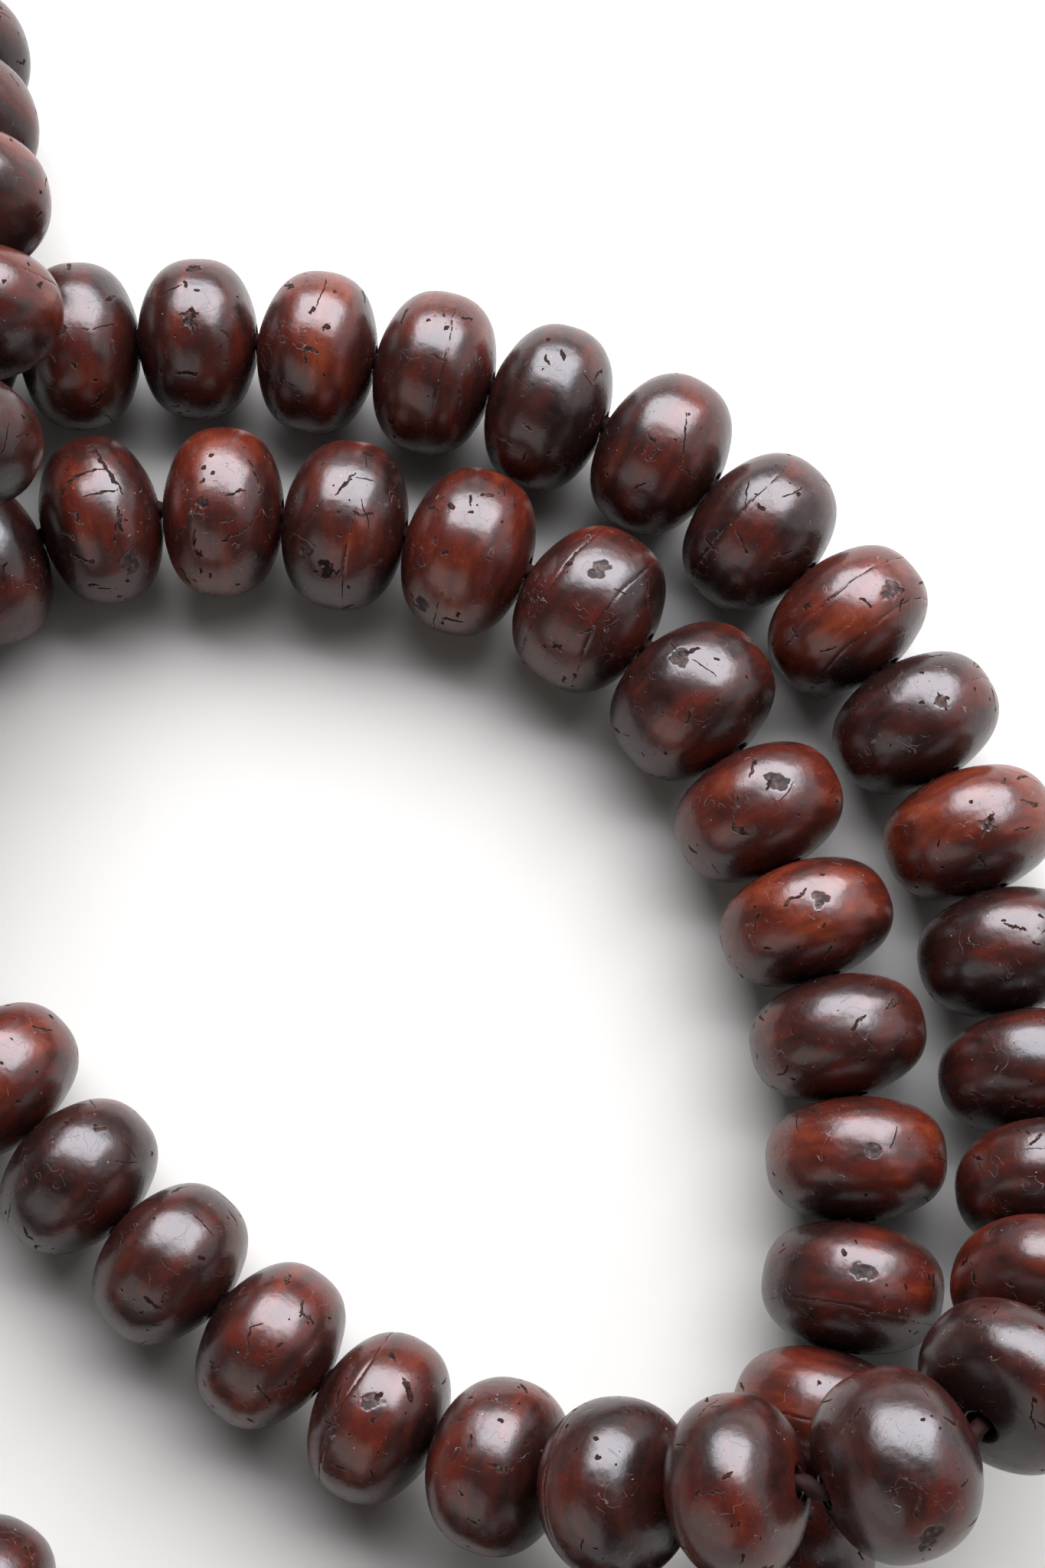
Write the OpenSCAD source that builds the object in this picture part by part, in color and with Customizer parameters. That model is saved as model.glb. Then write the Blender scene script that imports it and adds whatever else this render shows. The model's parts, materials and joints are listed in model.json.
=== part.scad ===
// Mala: a loop of seed beads strung on one cord, closed by a guru bead, a tower bead and a knot.
// The string of beads lies on a table in loose curves and crosses over itself in three places.
// The origin is on the table, under the middle of the whole string. +Z is up. Units are millimetres.

/* [Beads] */
// Number of counting beads
bead_count = 108; // [104:1:108]
// Outside diameter of a counting bead
bead_d = 12; // [11:0.1:12]
// Length of an ordinary counting bead along the cord
bead_len = 8; // [7.6:0.1:8]
// Radius of the rounded side of a counting bead
bead_side_r = 3.4; // [3.2:0.05:3.5]
// Gap left on straight cord between two counting beads
bead_gap = 0.46; // [0.4:0.02:0.5]
// Diameter of the hole drilled through a counting bead
bead_bore_d = 2; // [1.8:0.1:2.4]
// Bare cord beside the guru bead, which lets the first bead slide
start_slack = 8; // [7.6:0.1:8]

/* [Cord] */
// Diameter of the stringing cord
cord_d = 1.2; // [0.8:0.1:1.2]
// Number of sides of the cord's tube
cord_sides = 8; // [8:1:12]

/* [Guru bead] */
// Outside diameter of the guru bead
guru_d = 14; // [13:0.5:14]
// Length of the guru bead along the tail
guru_len = 12; // [11.5:0.1:12]
// Radius of the rounded side of the guru bead
guru_side_r = 5.2; // [5:0.05:5.4]
// Diameter of the hollow where the three holes of the guru bead meet
guru_hollow_d = 4.4; // [4.2:0.1:5]
// Diameter of the hole that takes both ends of the cord
tail_bore_d = 3; // [2.8:0.1:3.2]
// Angle by which the tail droops from the guru bead to the table
tail_droop = 13; // [12:0.5:14]

/* [Tower bead] */
// Length of the tower bead
tower_len = 9.5; // [8.5:0.5:10]
// Diameter of the tower bead's foot
tower_foot_d = 8; // [7:0.5:8]
// Diameter of the tower bead's crown
tower_crown_d = 4.6; // [4.4:0.1:5]

/* [Knot] */
// Number of turns in the closing knot
knot_turns = 3; // [2:1:3]
// Length of the two cord ends left beyond the knot
cut_end = 4; // [2:0.5:5]

/* [Hidden] */
$fn = 64;
fit_gap = 0.3;
overshoot = 1;
z_axis = [0, 0, 1];

// Route of the cord on the table, from the guru bead round to the guru bead.
// Each point is x, y and how far the cord is lifted above its height in a bead that lies flat.
ROUTE = [
    // away from the guru bead
    [-102, 17, 1], [-94, 23, 0.7], [-86, 29, 0.4], [-78, 35, 0.1],
    [-68, 38.5, 0], [-57, 37, 0], [-47, 32.5, 0], [-39, 30.5, 0],
    // outer row, which climbs at its end
    [-30.5, 30.5, 0], [-22.5, 31, 0], [-14.5, 30, 0], [-6.5, 28.5, 0],
    [1.5, 26, 0], [9.5, 22.5, 0], [16.5, 16.5, 0], [22.5, 10, 0],
    [27, 2.5, 0], [30.5, -5.5, 0], [32.5, -14, 0], [33.5, -22, 0.3],
    [34, -29.5, 2], [33, -36.5, 5.3], [29.5, -43, 9.8],
    // over the inner row, then the lower row
    [22, -47.5, 12.3], [13.5, -48.5, 11.4], [6, -48.5, 6.4], [-1.5, -47, 2],
    [-9, -44, 0.2], [-16, -39.5, 0], [-23, -34, 0], [-29.5, -28, 0],
    [-36, -21, 0.4], [-43, -14.5, 2.7], [-47, -6.5, 6.7], [-46.5, 2.5, 10.8],
    // up the left side, over both rows
    [-41.5, 11, 12.4], [-37, 20, 12.4], [-36.5, 28.5, 12.4], [-38, 37, 11.2],
    [-40, 45.5, 6.5], [-42, 54, 2.5], [-46, 63, 0.6], [-53, 73, 0.1],
    // the wide arc round the guru bead
    [-64, 83, 0], [-79, 89.5, 0], [-96, 91.5, 0], [-113, 88, 0],
    [-129, 79, 0], [-141, 65, 0], [-149, 47, 0], [-152, 28, 0],
    [-151, 9, 0], [-146, -10, 0], [-136, -28, 0], [-122, -43, 0],
    [-104, -52.5, 0], [-85, -55.5, 0], [-69, -53.5, 0], [-55, -50.5, 0],
    [-46, -51, 0],
    // along the bottom
    [-37.5, -54, 0], [-29.5, -58.5, 0], [-21, -63, 0], [-12, -66, 0],
    [-3, -66.5, 0], [6, -63.5, 0], [13, -58, 0], [17, -51, 0],
    // inner row
    [19.5, -43, 0], [21.5, -35.5, 0], [22, -27, 0], [21, -19, 0],
    [19, -11, 0], [16, -3.5, 0], [11.5, 4.5, 0], [4.5, 11, 0],
    [-3.5, 15, 0], [-12, 17, 0], [-20.5, 18, 0], [-29, 17.5, 0],
    [-37, 14.5, 0],
    // back to the guru bead
    [-45, 10.5, 0], [-53.5, 4.5, 0], [-61, -1.5, 0], [-69.5, -3, 0],
    [-78, -1, 0.1], [-86, 5, 0.4], [-94, 11, 0.7], [-102, 17, 1]
];

// Seeds that grew longer or shorter than the others: bead number and extra length.
ODD_SEEDS = [
    [13, 0.3], [14, 0.5], [15, 0.2], [19, -0.4], [20, -0.7], [21, -0.6],
    [22, -0.5], [23, 1.8], [24, 0.1], [25, 0.2], [33, -0.4], [34, -0.4],
    [35, -0.4], [91, -0.3], [92, -0.3], [93, -0.5], [95, 1.1], [96, 1.2],
    [97, 0.5], [98, 0.2]
];

// Beads that turn on the cord by themselves: first and last bead of each visible run.
SINGLE_RUNS = [[1, 1], [8, 32], [36, 40], [80, 81], [88, 101], [bead_count, bead_count]];

// The other beads, which are kept together: first and last bead of each group.
GROUP_RUNS = [[2, 7], [33, 35], [41, 53], [54, 66], [67, 79], [82, 87], [102, bead_count - 1]];

// The middle of the whole string, which becomes the origin.
string_mid = [-59, 12.5, 0];

// --- The cord's line -------------------------------------------------------

route_last = len(ROUTE) - 1;
span_steps = 12;
function route_point(i) =
    i < 0 ? 2 * ROUTE[0] - ROUTE[1] :
    i > route_last ? 2 * ROUTE[route_last] - ROUTE[route_last - 1] : ROUTE[i];

// A smooth curve through the route's points.
function curve(i, t) = let (a = route_point(i - 1), b = route_point(i), c = route_point(i + 1),
    d = route_point(i + 2))
    0.5 * (2 * b + (c - a) * t + (2 * a - 5 * b + 4 * c - d) * pow(t, 2)
        + (3 * b - a - 3 * c + d) * pow(t, 3));

// A bead that lies flat sets the lowest height of the cord.
function laid(p) = [p.x, p.y, bead_d / 2 + max(p.z, 0)] - string_mid;

line = [for (i = [0 : route_last - 1]) for (k = [0 : span_steps - 1]) laid(curve(i, k / span_steps)),
    laid(ROUTE[route_last])];
line_last = len(line) - 1;
line_along = [for (i = 0, s = 0; i <= line_last;
    s = s + (i < line_last ? norm(line[i + 1] - line[i]) : 0), i = i + 1) s];
line_len = line_along[line_last];

// The point at a distance along the cord, found by halving.
function span_at(s, low, high) =
    high - low < 2 ? low :
    let (mid = floor((low + high) / 2)) line_along[mid] > s ? span_at(s, low, mid) : span_at(s, mid, high);
function point_at(s) = let (i = span_at(s, 0, line_last))
    line[i] + (line[i + 1] - line[i]) * (s - line_along[i]) / (line_along[i + 1] - line_along[i]);
function unit(v) = v / norm(v);
tangent_reach = 2;
function heading_at(s) =
    unit(point_at(min(line_len, s + tangent_reach)) - point_at(max(0, s - tangent_reach)));

// --- Places of the beads ---------------------------------------------------

// Radius of the domed ends of an oval whose rounded sides have radius side_r.
function oval_dome_r(d, length, side_r) =
    (pow(d / 2 - side_r, 2) + pow(length / 2, 2) - pow(side_r, 2)) / (length - 2 * side_r);

function odd_extra(n) = let (hit = [for (o = ODD_SEEDS) if (o[0] == n) o[1]]) len(hit) > 0 ? hit[0] : 0;
bead_lens = [for (n = [1 : bead_count]) bead_len + odd_extra(n)];

// How far the middle of a domed end's arc lies beyond the bead's middle.
dome_offset = oval_dome_r(bead_d, bead_len, bead_side_r) - bead_len / 2;

// Beads stand further apart round a bend, where their domed ends roll on each other.
function bend_room(s) = let (turn = acos(min(1, heading_at(s) * heading_at(min(line_len, s + bead_len)))))
    2 * dome_offset * (1 - cos(turn / 2));

first_end = guru_d / 2 + start_slack;
bead_along = [for (n = 0, s = first_end; n < bead_count;
    s = s + bead_lens[n] + bead_gap + bend_room(s + bead_lens[n] / 2), n = n + 1) s + bead_lens[n] / 2];
bead_at = [for (s = bead_along) point_at(s)];
bead_dir = [for (s = bead_along) heading_at(s)];

guru_at = line[0];
tail_dir = [-cos(tail_droop), 0, -sin(tail_droop)];

// --- Names of the nodes ----------------------------------------------------

function digits(n) = str(n < 100 ? "0" : "", n < 10 ? "0" : "", n);
function single_name(n) = str("bead_", digits(n));
function group_name(run) = str("beads_", digits(run[0]), "_to_", digits(run[1]));
SINGLES = [for (run = SINGLE_RUNS) for (n = [run[0] : run[1]]) n];

// --- Shapes ----------------------------------------------------------------

// Puts children, made along +Z, at a place and turns them to a direction.
module along(place, dir) {
    translate(place) rotate([0, acos(dir.z), atan2(dir.y, dir.x)]) children();
}

// Half of an oval made of arcs: round sides of radius side_r and domed ends that run into them.
module oval_half(d, length, side_r) {
    out = d / 2 - side_r;
    half = length / 2;
    dome_r = oval_dome_r(d, length, side_r);
    join = out + side_r * out / (dome_r - side_r);
    translate([out, 0]) circle(side_r, $fn = 96);
    intersection() {
        translate([0, half - dome_r]) circle(dome_r, $fn = 192);
        translate([0, dome_r - half]) circle(dome_r, $fn = 192);
        translate([0, -half]) square([join, length]);
    }
}

// A seed bead on the Z axis with its hole.
module seed_bead(length) {
    rotate_extrude() difference() {
        oval_half(bead_d, length, bead_side_r);
        translate([-bead_d, -length]) square([bead_d + bead_bore_d / 2, 2 * length]);
    }
}

module placed_bead(n) {
    along(bead_at[n - 1], bead_dir[n - 1]) seed_bead(bead_lens[n - 1]);
}

module single_bead(n) {
    color("saddlebrown") placed_bead(n);
}

module bead_group(run) {
    color("saddlebrown") for (n = [run[0] : run[1]]) placed_bead(n);
}

// The three-hole bead: two holes for the loop, one wide hole for the tail, and a hollow between.
module guru_bead() {
    color("maroon") difference() {
        along(guru_at, tail_dir) rotate_extrude() intersection() {
            oval_half(guru_d, guru_len, guru_side_r);
            translate([0, -guru_len]) square([guru_d, 2 * guru_len]);
        }
        translate(guru_at) sphere(d = guru_hollow_d);
        along(guru_at, tail_dir) cylinder(h = guru_d, d = tail_bore_d);
        for (dir = [heading_at(0), -heading_at(line_len)])
            along(guru_at, dir) cylinder(h = guru_d, d = bead_bore_d);
    }
}

// The small bead above the guru bead, with a foot hollowed to sit on it.
tower_start = guru_len / 2 - 0.6;
tower_end = tower_start + tower_len;
guru_dome_r = oval_dome_r(guru_d, guru_len, guru_side_r);

module tower_bead() {
    foot_r = tower_foot_d / 2;
    crown_r = tower_crown_d / 2;
    foot_len = 3;
    waist_r = crown_r + 0.3;
    color("maroon") along(guru_at, tail_dir) difference() {
        rotate_extrude() {
            translate([0, tower_start]) square([foot_r - foot_len / 2, foot_len]);
            translate([foot_r - foot_len / 2, tower_start + foot_len / 2]) circle(d = foot_len);
            polygon([[0, tower_start + foot_len / 2], [foot_r - 1, tower_start + foot_len / 2],
                [waist_r, tower_end - 2 * crown_r + 1], [0, tower_end - 2 * crown_r + 1]]);
            intersection() {
                translate([0, tower_end - crown_r]) circle(crown_r + 0.2);
                translate([0, tower_start]) square([tower_foot_d, tower_len]);
            }
        }
        translate([0, 0, guru_len / 2 - guru_dome_r]) sphere(guru_dome_r + fit_gap, $fn = 128);
        translate([0, 0, tower_start - overshoot])
            cylinder(h = tower_len + 2 * overshoot, d = tail_bore_d);
    }
}

// Turns of cord wound round the two ends of the cord.
knot_start = tower_end + fit_gap;
knot_pitch = 0.9 * cord_d;
knot_wind_r = tail_bore_d / 2 + cord_d / 2 - 0.1;
knot_end = knot_start + knot_pitch * (knot_turns - 1) + cord_d;

module closing_knot() {
    color("darkred") along(guru_at, tail_dir) rotate_extrude()
        for (k = [0 : knot_turns - 1])
            translate([knot_wind_r, knot_start + cord_d / 2 + k * knot_pitch]) circle(d = cord_d);
}

// --- The cord --------------------------------------------------------------

// The two ends lie side by side in the tail, and bend inside the guru bead into the loop.
tail_side = [0, (cord_d + 0.1) / 2, 0];
tail_end = knot_end + cut_end;
bend_reach = 1.6;

// Stations of the tube, each a place and a heading: at both ends of every bead it runs straight.
tail_out = [
    [guru_at + tail_dir * tail_end + tail_side, -tail_dir],
    [guru_at + tail_dir * bend_reach + tail_side, -tail_dir],
    [guru_at + heading_at(0) * bend_reach, heading_at(0)]
];
tail_back = [
    [guru_at - heading_at(line_len) * bend_reach, heading_at(line_len)],
    [guru_at + tail_dir * bend_reach - tail_side, tail_dir],
    [guru_at + tail_dir * tail_end - tail_side, tail_dir]
];
in_beads = [for (i = [0 : bead_count - 1]) for (side = [-0.5, 0.5])
    [bead_at[i] + bead_dir[i] * bead_lens[i] * side, bead_dir[i]]];
stations = concat(tail_out, in_beads, tail_back);

function ring(station) =
    let (side = unit(cross(z_axis, station[1])), up = cross(station[1], side))
    [for (k = [0 : cord_sides - 1]) let (turn = 360 * k / cord_sides)
        station[0] + (side * cos(turn) + up * sin(turn)) * cord_d / 2];

module cord() {
    rings = len(stations);
    last = (rings - 1) * cord_sides;
    color("firebrick") polyhedron(
        points = [for (s = stations) each ring(s)],
        faces = concat(
            [[for (k = [0 : cord_sides - 1]) k]],
            [for (r = [0 : rings - 2]) for (k = [0 : cord_sides - 1])
                let (a = r * cord_sides + k, b = r * cord_sides + (k + 1) % cord_sides)
                each [[a, a + cord_sides, b], [b, a + cord_sides, b + cord_sides]]],
            [[for (k = [cord_sides - 1 : -1 : 0]) last + k]]
        )
    );
}

// --- The part --------------------------------------------------------------

cord();
guru_bead();
tower_bead();
closing_knot();
for (n = SINGLES) single_bead(n);
for (run = GROUP_RUNS) bead_group(run);
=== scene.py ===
"""Looks of a mala laid on a pale table: polished seeds, guru bead, tower bead, knot and cord.

Every seed is one closed mesh, grown from the place, heading and size of its solid in the frame.
Lengths are in metres in the scene and in millimetres inside the seed and cord builders.
"""
import json
import math

import bmesh
import bpy
import numpy as np
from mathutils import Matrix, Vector


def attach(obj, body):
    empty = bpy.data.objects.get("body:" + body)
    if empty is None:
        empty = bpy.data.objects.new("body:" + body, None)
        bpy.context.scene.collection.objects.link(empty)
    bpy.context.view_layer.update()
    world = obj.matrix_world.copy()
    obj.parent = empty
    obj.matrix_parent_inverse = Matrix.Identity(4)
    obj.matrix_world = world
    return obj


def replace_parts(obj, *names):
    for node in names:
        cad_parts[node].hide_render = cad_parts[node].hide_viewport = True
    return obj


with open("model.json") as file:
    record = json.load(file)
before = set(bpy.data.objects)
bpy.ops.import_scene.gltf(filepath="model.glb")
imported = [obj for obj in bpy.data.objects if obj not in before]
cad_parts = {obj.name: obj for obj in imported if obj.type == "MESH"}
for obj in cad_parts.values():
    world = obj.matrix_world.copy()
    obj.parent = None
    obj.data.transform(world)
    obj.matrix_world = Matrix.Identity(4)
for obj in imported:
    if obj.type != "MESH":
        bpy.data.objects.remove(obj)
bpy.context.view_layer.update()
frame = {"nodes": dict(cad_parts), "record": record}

MM = 0.001
random = np.random.RandomState(108)


# --- Camera ----------------------------------------------------------------

def add_camera():
    """A long lens that looks down steeply at the right-hand end of the string."""
    elevation = math.radians(75)
    target = Vector((0.059, -0.0125, 0))
    distance = 0.2095
    data = bpy.data.cameras.new("camera")
    data.sensor_fit = "VERTICAL"
    data.sensor_height = 36
    data.lens = 68.55
    data.clip_start = 0.01
    camera = bpy.data.objects.new("camera", data)
    camera.location = target + distance * Vector((0, -math.cos(elevation), math.sin(elevation)))
    camera.rotation_euler = (math.pi / 2 - elevation, 0, 0)
    bpy.context.scene.collection.objects.link(camera)
    bpy.context.scene.camera = camera


# --- Shader helpers --------------------------------------------------------

class Nodes:
    """Short calls for building a material's node tree."""

    def __init__(self, name):
        self.material = bpy.data.materials.new(name)
        self.material.use_nodes = True
        self.tree = self.material.node_tree
        self.shader = self.tree.nodes["Principled BSDF"]

    def put(self, socket, value):
        if isinstance(value, bpy.types.NodeSocket):
            self.tree.links.new(value, socket)
        else:
            socket.default_value = value

    def node(self, kind, inputs=None, **settings):
        made = self.tree.nodes.new(kind)
        for name, value in settings.items():
            setattr(made, name, value)
        for name, value in (inputs or {}).items():
            self.put(made.inputs[name], value)
        return made

    def attribute(self, name, output="Fac", where="GEOMETRY"):
        return self.node("ShaderNodeAttribute", attribute_name=name, attribute_type=where).outputs[output]

    def parts(self, vector):
        return self.node("ShaderNodeSeparateXYZ", {0: vector}).outputs

    def math(self, operation, a, b=0.0, c=0.0):
        return self.node("ShaderNodeMath", {0: a, 1: b, 2: c}, operation=operation).outputs[0]

    def scaled(self, vector, scale):
        return self.node("ShaderNodeVectorMath", {0: vector, 1: scale}, operation="MULTIPLY").outputs[0]

    def noise(self, vector, scale, detail=2.0, roughness=0.5, distortion=0.0):
        inputs = {"Vector": vector, "Scale": scale, "Detail": detail, "Roughness": roughness,
                  "Distortion": distortion}
        return self.node("ShaderNodeTexNoise", inputs).outputs["Fac"]

    def swing(self, value, reach):
        """Turns a value of 0 to 1 into one of -reach to reach."""
        return self.math("MULTIPLY_ADD", value, 2 * reach, -reach)

    def cells(self, vector, scale):
        """Distance to the nearest cell's point, in cells, and two random values for each cell."""
        made = self.node("ShaderNodeTexVoronoi", {"Vector": vector, "Scale": scale})
        pick = self.node("ShaderNodeSeparateColor", {0: made.outputs["Color"]})
        return made.outputs["Distance"], pick.outputs[0], pick.outputs[1]

    def step(self, value, low, high):
        """0 below low and 1 above high, with a smooth change between; low may be above high."""
        inputs = {"Value": value, "From Min": low, "From Max": high}
        return self.node("ShaderNodeMapRange", inputs, interpolation_type="SMOOTHSTEP").outputs[0]

    def ramp(self, value, stops):
        made = self.node("ShaderNodeValToRGB", {0: value})
        elements = made.color_ramp.elements
        while len(elements) < len(stops):
            elements.new(0.5)
        for element, (place, colour) in zip(elements, stops):
            element.position = place
            element.color = (*colour, 1)
        return made.outputs[0]

    def mix(self, factor, a, b):
        """Colour a where factor is 0 and b where it is 1."""
        made = self.node("ShaderNodeMix", data_type="RGBA")
        for socket, value in ((made.inputs[0], factor), (made.inputs[6], a), (made.inputs[7], b)):
            if isinstance(value, tuple):
                value = (*value, 1)
            self.put(socket, value)
        return made.outputs[2]

    def bump(self, height, distance, strength=1.0):
        inputs = {"Height": height, "Distance": distance, "Strength": strength}
        return self.node("ShaderNodeBump", inputs).outputs[0]


# --- Materials -------------------------------------------------------------
# Noise scales and stretches are per millimetre of grain, which is a seed's own coordinates in millimetres.

BLACK_BROWN = (0.008, 0.003, 0.0025)
DARK_BROWN = (0.023, 0.0055, 0.004)
RED_BROWN = (0.054, 0.0072, 0.0034)
WARM_BROWN = (0.12, 0.022, 0.0075)
# The near-black of marks, pits and dark clumps in scars: partly their dark filling, partly painted shade in their
# hollows.
MARK_BLACK = (0.004, 0.0026, 0.0022)
SCAR_GREY = (0.062, 0.046, 0.038)
DUST = (0.4, 0.38, 0.36)
PORE_BLACK = (0.006, 0.004, 0.004)
CORD_BLACK = (0.005, 0.0018, 0.0015)
CORD_RED = (0.024, 0.0045, 0.0032)
WAX_BROWN = (0.012, 0.004, 0.004)
MARK_WANDER = 3.5
MARK_CRUMBS = 2.2
MARK_NAMES = ("mark_1", "mark_2", "mark_3", "seam")


def marks_on_seed(n, grain):
    """How much each point lies in a mark, in a mark's pale filling and in the worn rim round one, and the crumbs.

    A mark's attribute holds the distance across it and along it, each 1 at its edge, and its kind. Noise shifts
    the distance across, so that the mark wanders, and crumbs eat into its edge.
    """
    wander = n.swing(n.noise(grain, 1.2, 2, 0.5), MARK_WANDER)
    crumbs = n.swing(n.noise(grain, 4.2, 3, 0.65), MARK_CRUMBS)
    broken = n.step(n.noise(grain, 1.4, 2, 0.6), 0.42, 0.52)
    marks = filling = rim = None
    for name in MARK_NAMES:
        across, along, kind = n.parts(n.attribute(name, "Vector"))
        across = n.math("ADD", across, wander)
        inside = n.math("SUBTRACT", 1.0, n.math("MULTIPLY", across, across))
        inside = n.math("SUBTRACT", inside, n.math("POWER", n.math("ABSOLUTE", along), 4.0))
        inside = n.math("ADD", inside, crumbs)
        present = n.step(kind, 0.1, 0.2)
        if name == "seam":
            present = n.math("MULTIPLY", present, broken)
        mark = n.math("MULTIPLY", n.step(inside, -0.1, 0.45), present)
        filled = n.math("MULTIPLY", n.step(kind, 0.45, 0.7), present)
        fill = n.math("MULTIPLY", n.step(inside, 0.4, 0.85), filled)
        edge = n.math("MULTIPLY", n.step(inside, -2.6, -0.1), present)
        marks = n.math("MAXIMUM", marks, mark) if marks else mark
        filling = n.math("MAXIMUM", filling, fill) if filling else fill
        rim = n.math("MAXIMUM", rim, edge) if rim else edge
    return marks, filling, rim, crumbs


def patina_and_shade_colour(n, grain):
    """Broad clouds of dark patina over red-brown, faint bands round the hole, and ends darkened by patina and
    painted shade.
    """
    clouds = n.noise(grain, 0.17, 3, 0.5, 0.4)
    bands = n.noise(n.scaled(grain, (0.32, 0.32, 1.0)), 0.55, 4, 0.6, 0.6)
    streaks = n.noise(n.scaled(grain, (0.16, 0.16, 1.0)), 2.2, 3, 0.6, 0.3)
    speckle = n.noise(n.scaled(grain, (0.6, 0.6, 1.0)), 3.4, 4, 0.65)
    redness = n.math("MULTIPLY_ADD", clouds, 1.25, n.math("MULTIPLY_ADD", bands, 1.0, -1.12))
    redness = n.math("ADD", redness, n.math("MULTIPLY_ADD", n.attribute("tone", where="OBJECT"), 0.85, 0.06))
    redness = n.math("ADD", redness, n.swing(speckle, 0.12))
    redness = n.math("ADD", redness, n.swing(streaks, 0.25))
    # Darker towards both ends of the hole: partly patina, and partly painted shade where the neighbouring seeds
    # meet.
    redness = n.math("ADD", redness, n.math("MULTIPLY", n.attribute("ends"), -0.16))
    colour = n.ramp(redness, [(0.1, BLACK_BROWN), (0.36, DARK_BROWN), (0.62, RED_BROWN), (0.95, WARM_BROWN)])
    return n.mix(n.math("MULTIPLY", n.step(speckle, 0.5, 0.66), 0.45), colour, DARK_BROWN)


def pin_dots(n, grain):
    """Small round pits, in one cell of five."""
    near, pick, size = n.cells(n.scaled(grain, (0.85, 0.85, 1.0)), 1.5)
    dot = n.step(n.math("DIVIDE", near, n.math("MULTIPLY_ADD", size, 0.08, 0.05)), 1.0, 0.5)
    return n.math("MULTIPLY", dot, n.math("GREATER_THAN", pick, 0.8))


def seed_material():
    """Polished seed: red-brown patina with marks, stem scars, dust and fine scratches."""
    n = Nodes("polished_seed")
    grain = n.attribute("grain", "Vector")
    colour = patina_and_shade_colour(n, grain)

    marks, filling, rim, crumbs = marks_on_seed(n, grain)
    marks = n.math("MAXIMUM", marks, pin_dots(n, grain))
    worn = n.math("MULTIPLY", rim, n.step(crumbs, -1.0, 1.0))
    colour = n.mix(n.math("MULTIPLY", worn, 0.35), colour, WARM_BROWN)
    # Marks and pits go near-black: partly their dark filling, and partly painted shade in the hollow, which the
    # bump leaves lit.
    colour = n.mix(n.math("MULTIPLY", marks, 0.88), colour, MARK_BLACK)

    # Rough grey-brown filling of the scars and the wider tracks.
    scar_grain = n.noise(grain, 4.5, 4, 0.7)
    scar_edge = n.step(n.math("ADD", n.attribute("scar"), n.swing(scar_grain, 0.9)), 0.3, 0.5)
    rough_part = n.math("MAXIMUM", scar_edge, n.math("MULTIPLY", filling, 0.8))
    scar_clumps = n.noise(grain, 1.9, 5, 0.7)
    scar_colour = n.ramp(scar_clumps, [(0.44, MARK_BLACK), (0.5, DARK_BROWN), (0.6, SCAR_GREY)])
    colour = n.mix(n.math("MULTIPLY", rough_part, 0.9), colour, scar_colour)

    # Specks of dust, and pale hair scratches in places.
    speck_near, speck_pick, _ = n.cells(grain, 1.7)
    speck = n.math("MULTIPLY", n.step(speck_near, 0.075, 0.045), n.math("GREATER_THAN", speck_pick, 0.88))
    colour = n.mix(n.math("MULTIPLY", speck, 0.8), colour, DUST)
    hair = n.math("ABSOLUTE", n.math("SUBTRACT", n.noise(grain, 0.75, 1.5, 0.5, 0.8), 0.5))
    hair = n.math("MULTIPLY", n.step(hair, 0.0045, 0.0015), n.step(n.noise(grain, 0.42, 1, 0.5), 0.56, 0.6))
    colour = n.mix(n.math("MULTIPLY", hair, 0.2), colour, DUST)

    # Fine handling scratches and the shallow dents of hand polish.
    scratch_a = n.noise(n.scaled(grain, (4.0, 1.0, 0.5)), 3.0, 3, 0.6, 0.5)
    scratch_b = n.noise(n.scaled(grain, (0.6, 3.0, 4.0)), 2.6, 3, 0.6, 0.5)
    dents = n.noise(grain, 0.8, 2, 0.5)
    height = n.math("MULTIPLY_ADD", n.math("ADD", scratch_a, scratch_b), 0.06, n.math("MULTIPLY", marks, -1.0))
    height = n.math("ADD", height, n.math("MULTIPLY", n.math("MULTIPLY", rough_part, scar_grain), 0.7))
    height = n.math("ADD", height, n.math("MULTIPLY_ADD", hair, 0.15, n.math("MULTIPLY", dents, 0.5)))

    # The gloss is patchy, and marks and scars have next to none.
    rough = n.math("MULTIPLY_ADD", n.noise(grain, 1.1, 4, 0.6), 0.16, 0.18)
    rough = n.math("ADD", rough, n.math("MULTIPLY", n.math("MAXIMUM", marks, rough_part), 0.4))
    dull = n.math("MAXIMUM", marks, n.math("MULTIPLY", rough_part, 0.5))
    n.put(n.shader.inputs["Base Color"], colour)
    n.put(n.shader.inputs["Roughness"], rough)
    n.put(n.shader.inputs["Normal"], n.bump(height, 0.1 * MM))
    n.put(n.shader.inputs["Specular IOR Level"], n.math("MULTIPLY_ADD", dull, -0.42, 0.5))
    n.shader.inputs["IOR"].default_value = 1.55
    return n.material


def wood_material():
    """Turned and polished dark wood for the guru bead and the tower bead."""
    n = Nodes("turned_wood")
    place = n.node("ShaderNodeTexCoord").outputs["Object"]
    grain = n.scaled(place, (1 / MM, 1 / MM, 1 / MM))
    long_grain = n.scaled(grain, (0.25, 1.0, 1.0))
    rings = n.noise(long_grain, 0.9, 5, 0.6, 1.2)
    colour = n.ramp(rings, [(0.32, BLACK_BROWN), (0.46, DARK_BROWN), (0.62, RED_BROWN), (0.8, WARM_BROWN)])
    pores = n.noise(n.scaled(grain, (0.4, 3.0, 3.0)), 2.2, 3, 0.6)
    colour = n.mix(n.step(pores, 0.62, 0.7), colour, PORE_BLACK)
    n.put(n.shader.inputs["Base Color"], colour)
    n.put(n.shader.inputs["Roughness"], n.math("MULTIPLY_ADD", n.noise(grain, 1.4, 3), 0.16, 0.21))
    n.put(n.shader.inputs["Normal"], n.bump(n.math("SUBTRACT", rings, pores), 0.04 * MM))
    n.shader.inputs["IOR"].default_value = 1.6
    return n.material


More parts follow.
